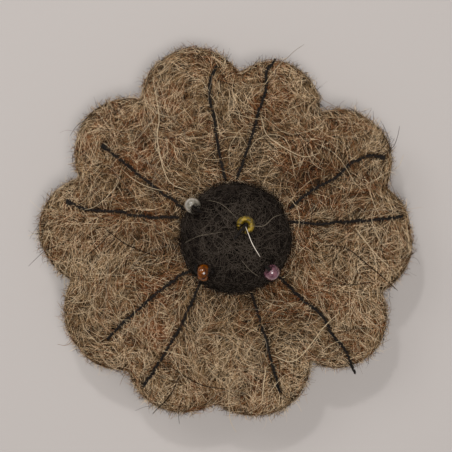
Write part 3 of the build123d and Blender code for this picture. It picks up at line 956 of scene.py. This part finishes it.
# Layers of its wool: inner and outer share of that radius, portion of the curls, curl, length,
# lift of the root, stand-off, thickness, and tone with its scatter.
BALL_LAYERS = [
    (0.0, 1.0, 0.62, 0.9, (2.0, 4.5), (-0.08, 0.26), 0.06, (0.032, 0.055), 0.0, 0.8),
    (0.0, 1.0, 0.22, 0.9, (2.2, 5.5), (0.16, 0.36), 0.10, (0.026, 0.042), 3.9, 1.1),
    (0.0, 1.0, 0.04, 0.35, (4.0, 8.0), (0.22, 0.45), 0.22, (0.025, 0.04), 4.6, 0.8),
    (0.45, 0.9, 0.12, 0.8, (2.0, 4.5), (0.20, 0.75), 0.35, (0.02, 0.035), 2.3, 1.6),
]


def ball_arcs():
    """Radius of the crown's arc, the angle where it ends, and how far out the shoulder's arc is."""
    shoulder = BALL_RADIUS - BALL_SHOULDER
    tall = BALL_HEIGHT - BALL_WAIST
    crown = (shoulder**2 + tall**2 - BALL_SHOULDER**2) / (2 * (tall - BALL_SHOULDER))
    return crown, np.arcsin(shoulder / (crown - BALL_SHOULDER)), shoulder


def ball_surface(share, angle, lift):
    """A point of the ball: share runs from 0 at the crown to 1 at the foot."""
    crown, slant, shoulder = ball_arcs()
    crown_run = crown * slant
    shoulder_run = BALL_SHOULDER * (pi / 2 - slant)
    foot_run = FOOT_STRETCH * BALL_WAIST
    run = share * (crown_run + shoulder_run + foot_run)
    a = run / crown
    b = slant + (run - crown_run) / BALL_SHOULDER
    c = np.clip((run - crown_run - shoulder_run) / foot_run, 0, 1)
    on_crown = run < crown_run
    below = run >= crown_run + shoulder_run
    radius = np.where(on_crown, crown * np.sin(a), shoulder + BALL_SHOULDER * np.sin(b))
    crown_height = BALL_HEIGHT - crown + crown * np.cos(a)
    height = np.where(on_crown, crown_height, BALL_WAIST + BALL_SHOULDER * np.cos(b))
    tilt = np.where(on_crown, a, b)
    foot_in = BALL_RADIUS - BALL_FOOT
    radius = np.where(below, BALL_RADIUS - foot_in * (1 - np.sqrt(1 - c**2 * 0.98)), radius)
    height = np.where(below, BALL_WAIST - BALL_WAIST * c, height)
    tilt = np.where(below, pi / 2 + c * 0.9, tilt)
    flat = BALL_CENTRE + polar(radius + lift * np.sin(tilt), angle)
    return raised(flat, FELT_TOP + (height + lift * np.cos(tilt)))


def ball_lumps(share, angle):
    """Hand-felted unevenness of the ball's matted body."""
    lumps = 0.28 * ring_noise(angle, 12 * share, 3.5, 31)
    return lumps + 0.14 * ring_noise(angle, 12 * share, 1.3, 32) - BALL_SINK


def felt_ball():
    """The matted body of the ball, just under its wool."""
    angle, share = np.meshgrid(ring_angles(220), np.linspace(0.004, 1, 110))
    points, faces = capped_rings(ball_surface(share, angle, ball_lumps(share, angle)))
    ground = felt_ground("ball_wool_ground", [(3, 2, 2), (7, 5, 4), (13, 10, 8), (20, 16, 13)])
    piece = add_mesh("felt_ball_body", points, faces, [ground])
    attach(piece, FLOWER_BODY)
    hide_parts("felt_ball")


def ball_curls(number):
    """Charcoal wool of one sector of the ball: tight low curls and a looser fuzz."""
    rng = np.random.default_rng(401 + number)
    sector = number * 2 * pi / BALL_SECTORS, (number + 1) * 2 * pi / BALL_SECTORS
    knots = 11
    parts = []
    for inner, outer, portion, curl, length, base, stand, thick, tone, spread in BALL_LAYERS:
        count = int(BALL_CURLS * portion)
        reach = BALL_FLAT * np.sqrt(rng.uniform(inner**2, outer**2, count))
        start = polar(reach, rng.uniform(*sector, count))
        heading = rng.uniform(0, 2 * pi, count)
        path = wander(rng, start, heading, rng.uniform(*length, count), knots, curl)
        share = np.hypot(path[..., 0], path[..., 1]) / BALL_FLAT
        angle = np.arctan2(path[..., 1], path[..., 0])
        low = rng.uniform(*base, (count, 1))
        lift = low + rng.exponential(stand, (count, 1)) * arch(knots) + ball_lumps(share, angle)
        paths = ball_surface(np.clip(share, 0, 1), angle, lift)
        level = tone + rng.normal(0, spread, count)
        tones = np.clip(np.round(level), 0, len(BALL_TONES) - 1).astype(int)
        radii = taper(rng.uniform(*thick, count), knots)
        parts.append(tube_parts(paths, radii, 3, tones))
    name = f"felt_ball_curls_{number + 1}"
    add_wool(name, join_parts(parts), ball_tone_materials)


# ---------------- beads
# a bead's length, its hole's radius, and how far its thread's middle stands off it
BEAD_LENGTH, BEAD_HOLE, BEAD_THREAD = 1.85, 0.45, 0.4
BEAD_RADII = {"white": 1.42, "yellow": 1.6, "amber": 1.48, "pink": 1.42}
BEAD_AXES = {
    "white": (0.56, -0.43, 0.71),
    "yellow": (-0.05, -0.04, 1.0),
    "amber": (0.99, -0.05, 0.12),
    "pink": (-0.66, 0.61, 0.44),
}
BEAD_COLOURS = {
    "white": [(122, 115, 102), (158, 150, 136)],
    "yellow": [(44, 36, 2), (154, 125, 10)],
    "amber": [(54, 25, 1), (124, 64, 3)],
    "pink": [(84, 50, 61), (130, 88, 97)],
}
BEAD_ROUGHNESS = {"white": 0.15, "yellow": 0.5, "amber": 0.15, "pink": 0.15}
BEAD_CLARITY = {"white": 0.3, "yellow": 0.1, "amber": 0.05, "pink": 0.15}
BEAD_GLOSS = {"white": 0.8, "yellow": 0.0, "amber": 0.2, "pink": 0.8}
# 1 makes the section of a bead's wall an ellipse, and less makes it squarer
BEAD_SECTION_POWER = 0.97
# The thread through a bead: twist, offset and radius of its three plies, how deep it dives into
# the wool under the bead, and how deep beside an upright one.
PLY_TWIST, PLY_OFFSET, PLY_RADIUS = 1.4, 0.13, 0.12
STITCH_DEPTH, UPRIGHT_DEPTH = 3.0, 2.0


def bead(colour):
    """A seed bead: a rounded section swept round its hole, turned to the bead's own axis."""
    rows, columns = 32, 48
    turn = np.linspace(0, 2 * pi, rows + 1)[:-1]
    across, along = (
        np.sign(part) * np.abs(part) ** BEAD_SECTION_POWER for part in (np.cos(turn), np.sin(turn))
    )
    middle = (BEAD_RADII[colour] + BEAD_HOLE) / 2
    half_wall = (BEAD_RADII[colour] - BEAD_HOLE) / 2
    flat = polar((middle + half_wall * across)[:, None], ring_angles(columns))
    height = BEAD_LENGTH / 2 * along[:, None] * np.ones(columns)
    rotation = np.array(Vector(BEAD_AXES[colour]).to_track_quat("Z", "Y").to_matrix())
    points = raised(flat, height).reshape(-1, 3) @ rotation.T + node_middle(f"bead_{colour}")
    # the last row joins the first one
    quads = grid_faces(rows + 1, columns, True)[:, ::-1] % (rows * columns)
    piece = add_mesh(f"{colour}_seed_bead", points, [quads], [bead_glass(colour)])
    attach(piece, FLOWER_BODY)
    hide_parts(f"bead_{colour}")


def bead_glass(colour):
    """Pearly glass: cloudy colour inside, a clear glossy skin."""
    values = {
        "Roughness": BEAD_ROUGHNESS[colour],
        "IOR": 1.4,
        "Coat Weight": BEAD_GLOSS[colour],
        "Coat Roughness": 0.12,
        "Coat IOR": 1.6,
        "Transmission Weight": BEAD_CLARITY[colour],
    }
    cloud = (1800, 3, 0.34, 0.66)
    return mottled(f"{colour}_bead_glass", values, BEAD_COLOURS[colour], cloud)[0]


def bead_stitch(colour, material):
    """Three twisted plies of black thread, through a bead's hole and down into the wool."""
    centre = node_middle(f"bead_{colour}")
    along = np.array(BEAD_AXES[colour])
    along = along / np.linalg.norm(along)
    heart = np.array([*BALL_CENTRE, FELT_TOP + BALL_WAIST])
    inward = (heart - centre) / np.linalg.norm(heart - centre)
    side = inward - along * inward.dot(along)
    over = (BEAD_LENGTH / 2 + BEAD_THREAD) * along
    if np.linalg.norm(side) < 0.5:
        out = -side_of(along) * (BEAD_RADII[colour] + BEAD_THREAD)
        corners = [-STITCH_DEPTH * along, over, over + out, out - UPRIGHT_DEPTH * along]
    else:
        drop = side / np.linalg.norm(side) * STITCH_DEPTH
        corners = [drop - over, -over, over, drop + over]
    line = smooth_line(centre + np.array(corners), 50)
    plies = np.array(strand_paths(line, PLY_TWIST, PLY_OFFSET, ring_angles(3)))
    points, faces, _ = tube_parts(plies, np.full(plies.shape[:2], PLY_RADIUS), 6)
    piece = add_mesh(f"{colour}_bead_stitch", points, faces, [material])
    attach(piece, FLOWER_BODY)
    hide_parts(f"bead_thread_{colour}")


def side_of(axis):
    """X direction of a plane square to axis, as the CAD model lays it out."""
    side = np.cross(axis, [0.0, 0.0, 1.0])
    if np.linalg.norm(side) < 1e-6:
        return np.array([1.0, 0.0, 0.0])
    return side / np.linalg.norm(side)


# ---------------- backing felt
# the patch's edge: how round it is, how much it wavers, and how far it lies inside the solid's
BACKING_ROUNDING, BACKING_WAVE, BACKING_INSET = 0.7, 0.18, 0.2
# fibres on its back, and how far the loosest reach past its edge
BACKING_FIBRES, BACKING_FRINGE = 6500, 0.35


def backing_rings(radius):
    """Rings of the patch's two faces, from the middle over the rim and back."""
    angle = ring_angles(180)
    edge = radius + BACKING_WAVE * ring_noise(angle, 9, 2.3, 51) - BACKING_INSET
    middle = (backing_low[2] + backing_high[2]) / 2
    half = (backing_high[2] - backing_low[2]) / 2
    shares = np.linspace(0.03, 1, 26)
    rings = []
    for side, run in ((1, shares), (-1, shares[-2::-1])):
        for share in run:
            bulge = np.clip((radius - share * edge) / BACKING_ROUNDING, 0, 1)
            height = half * np.sqrt(1 - (1 - bulge) ** 2)
            flat = polar(share * edge, angle)
            rough = 0.06 * value_noise(flat[:, 0], flat[:, 1], 1.2, 52 + side)
            rings.append(raised(flat, middle + side * (height - 0.05 + rough)))
    return rings


def backing_felt():
    """Round patch of firmer felt between the flower and the clip."""
    radius = backing_high[0]
    points, faces = capped_rings(backing_rings(radius))
    ground = felt_ground("backing_ground", [(30, 22, 15), (50, 38, 27), (72, 56, 41), (92, 74, 56)])
    piece = add_mesh("backing_felt_patch", points, faces, [ground])
    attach(piece, FLOWER_BODY)
    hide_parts("backing_felt")


def backing_wool():
    """Matted fibres on the patch's back and round its edge."""
    rng = np.random.default_rng(700)
    radius = backing_high[0] - 0.25
    count, knots = BACKING_FIBRES, 5
    reach = radius * np.sqrt(rng.uniform(0, 1, count))
    start = polar(reach, rng.uniform(0, 2 * pi, count))
    path = wander(rng, start, lay_of_wool(rng, start), rng.uniform(1.2, 3.2, count), knots, 0.5)
    out = np.hypot(path[..., 0], path[..., 1])
    over = np.clip(out - radius, 0, 1.2)
    drop = rng.uniform(-0.05, 0.09, (count, 1)) + rng.exponential(0.04, (count, 1)) * arch(knots)
    z = backing_low[2] + 0.05 - np.minimum(drop, 0.22) + 0.9 * over
    fringe = radius + BACKING_FRINGE * np.tanh(over / BACKING_FRINGE)
    path = path * np.where(out > radius, fringe / np.maximum(out, 1e-6), 1.0)[..., None]
    level = 2.0 + rng.normal(0, 1.1, count)
    tones = np.clip(np.round(level), 0, len(BACKING_TONES) - 1).astype(int)
    radii = taper(rng.uniform(0.035, 0.055, count), knots)
    parts = tube_parts(raised(path, z), radii, 3, tones)
    add_wool("backing_felt_wool", parts, backing_tone_materials)


# ---------------- glue
# how far the glue is squeezed out round the pad, and how much that varies
GLUE_SQUEEZE, GLUE_WAVE = 0.9, 0.8


def glue_bed():
    """Bed of hot glue, squeezed out unevenly round the clip's arm."""
    half_long, half_wide = (glue_high - glue_low)[:2] / 2
    turn = ring_angles(220)
    squeeze = GLUE_SQUEEZE + GLUE_WAVE * ring_noise(turn, 15, 2.2, 61)
    edge = polar(half_wide + squeeze, turn)
    edge[:, 0] += (half_long - half_wide) * np.clip(1.6 * np.cos(turn), -1, 1)
    middle = np.array([(glue_low[0] + glue_high[0]) / 2, 0])
    top, low = glue_high[2] + 0.03, glue_low[2] - 0.02
    section = [(0.3, top), (0.97, top), (1.0, (top + low) / 2), (0.97, low), (0.3, low)]
    rings = [raised(middle + edge * share, np.full(len(turn), z)) for share, z in section]
    points, faces = capped_rings(rings)
    piece = add_mesh("glue_bed", points, faces, [hot_glue()])
    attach(piece, FLOWER_BODY)
    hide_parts("glue_pad")


def hot_glue():
    """Milky hot glue with a soft skin."""
    milky = {"Roughness": 0.3, "Transmission Weight": 0.3, "IOR": 1.48}
    colours = [(196, 184, 152), (222, 214, 190)]
    return mottled("hot_glue", milky, colours, (500, 4, 0.3, 0.7), (0.3, 0.0003))[0]


# ---------------- clip and spring
def plated_steel(name, light, dark, rough):
    """Nickel plate over pressed steel: faint drawing marks, smudges and dull spots."""
    colours, smudges = [dark, light, light], (160, 6, 0.3, 0.62)
    material, tree, shader, value = mottled(name, {"Metallic": 1.0}, colours, smudges)
    coordinate = tree.nodes.new("ShaderNodeTexCoord")
    stretch = tree.nodes.new("ShaderNodeMapping")
    set_inputs(stretch, {"Scale": (90, 3200, 3200)})
    tree.links.new(coordinate.outputs["Object"], stretch.inputs["Vector"])
    marks = tree.nodes.new("ShaderNodeTexNoise")
    set_inputs(marks, {"Scale": 1.0, "Detail": 4})
    tree.links.new(stretch.outputs["Vector"], marks.inputs["Vector"])
    dulled = tree.nodes.new("ShaderNodeMapRange")
    ends = {"To Min": rough * 1.5, "To Max": rough * 0.75}
    set_inputs(dulled, {"From Min": 0.3, "From Max": 0.7, **ends})
    tree.links.new(value, dulled.inputs["Value"])
    tree.links.new(dulled.outputs["Result"], shader.inputs["Roughness"])
    bumped(tree, shader, marks.outputs["Fac"], 0.12, 0.0001)
    return material


def clip_finish():
    """Plated finish on the CAD model's own clip parts."""
    bright = plated_steel("clip_plate", (205, 202, 196), (168, 162, 152), 0.24)
    pin = plated_steel("pin_plate", (214, 211, 205), (180, 175, 166), 0.2)
    finishes = {"clip_upper_arm": bright, "clip_lower_arm": bright, "hinge_pin": pin}
    for node, material in finishes.items():
        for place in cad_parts[node].material_slots:
            place.material = material


# wire, radius and pitch of the coil; angle of its first leg, number of turns, length of a leg
SPRING_WIRE, SPRING_COIL_RADIUS, SPRING_PITCH = 0.7, 1.3, 0.76
SPRING_FIRST, SPRING_TURNS, SPRING_LEG = 93.3, 3.4447, 7.6


def torsion_spring():
    """Wire coil round the pin, with a leg under the upper arm and one on the lever."""
    turn = radians(SPRING_FIRST) + np.linspace(0, 2 * pi * SPRING_TURNS, 120)
    half = SPRING_TURNS * SPRING_PITCH / 2
    coil = np.stack([
        HINGE[0] + SPRING_COIL_RADIUS * np.cos(turn),
        np.linspace(half, -half, len(turn)),
        HINGE[2] + SPRING_COIL_RADIUS * np.sin(turn),
    ], 1)
    slant = np.hypot(SPRING_PITCH / (2 * pi), SPRING_COIL_RADIUS)
    legs = []
    for place, sign in ((0, -1), (-1, 1)):
        aim = np.array([-np.sin(turn[place]), 0, np.cos(turn[place])]) * SPRING_COIL_RADIUS
        aim[1] = -SPRING_PITCH / (2 * pi)
        run = np.linspace(0.3, SPRING_LEG, 12)[:, None]
        legs.append(coil[place] + sign * run * aim / slant)
    path = np.vstack([legs[0][::-1], coil, legs[1]])
    radii = np.full(len(path), SPRING_WIRE / 2)
    radii[[0, -1]] *= 0.8
    points, faces, _ = tube_parts(path[None], radii[None], 16)
    steel = plated_steel("spring_wire", (150, 147, 142), (112, 108, 102), 0.3)
    piece = add_mesh("torsion_spring_wire", points, faces, [steel])
    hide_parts("torsion_spring")
    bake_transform(piece)


# ---------------- studio
def studio():
    """Pale floor, soft light from the upper left, and a camera straight over the face."""
    bpy.ops.mesh.primitive_plane_add(size=4.0, location=(0, 0, 0))
    floor = bpy.context.object
    floor.name = "floor"
    pale = {"Base Color": srgb(177, 171, 168), "Roughness": 0.9}
    floor.data.materials.append(new_material("pale_floor", pale)[0])

    world = bpy.data.worlds.new("studio_world")
    bpy.context.scene.world = world
    world.use_nodes = True
    sky = {"Color": (0.92, 0.95, 1.0, 1), "Strength": 0.20}
    set_inputs(world.node_tree.nodes["Background"], sky)

    def area(name, place, size, power, colour):
        """A round lamp that points at the flower, with lengths in metres."""
        light = bpy.data.lights.new(name, "AREA")
        light.shape = "DISK"
        light.size = size
        light.energy = power
        light.color = colour
        lamp = bpy.data.objects.new(name, light)
        lamp.location = place
        aim = Vector((0, 0, 0.01)) - Vector(place)
        lamp.rotation_euler = aim.to_track_quat("-Z", "Y").to_euler()
        bpy.context.collection.objects.link(lamp)

    area("key_light", (0.04, -0.08, 0.85), 0.42, 5.6, (1.0, 0.97, 0.93))
    area("side_light", (-0.40, 0.38, 0.50), 0.35, 1.1, (1.0, 0.99, 0.97))
    area("bead_glint", (-0.08, 0.24, 0.34), 0.03, 0.40, (1.0, 1.0, 1.0))

    camera_data = bpy.data.cameras.new("camera")
    camera_data.sensor_width = 36.0
    camera_data.lens = 132.7
    camera = bpy.data.objects.new("camera", camera_data)
    camera.location = (0.0, 0.00086, 0.31)
    bpy.context.collection.objects.link(camera)
    bpy.context.scene.camera = camera
    bpy.context.scene.view_settings.view_transform = "Standard"


studio()
felt_tone_materials = [
    plain_fibre(f"wool_{i:02d}", c, FELT_GAIN) for i, c in enumerate(FELT_TONES)
]
ball_tone_materials = [
    plain_fibre(f"ball_wool_{i}", c, BALL_GAIN, 0.03) for i, c in enumerate(BALL_TONES)
]
backing_tone_materials = [
    plain_fibre(f"backing_wool_{i}", c, BACKING_GAIN) for i, c in enumerate(BACKING_TONES)
]
black_thread = thread_material("black_thread")
felt_flower()
for number in range(len(LOBES)):
    lobe_wool(number)
for number in range(len(VEIN_ROUTES)):
    vein(number, black_thread)
felt_ball()
for number in range(BALL_SECTORS):
    ball_curls(number)
stray_hairs()
for colour in BEAD_AXES:
    bead(colour)
    bead_stitch(colour, black_thread)
    bead_laps(colour)
backing_felt()
backing_wool()
glue_bed()
clip_finish()
torsion_spring()
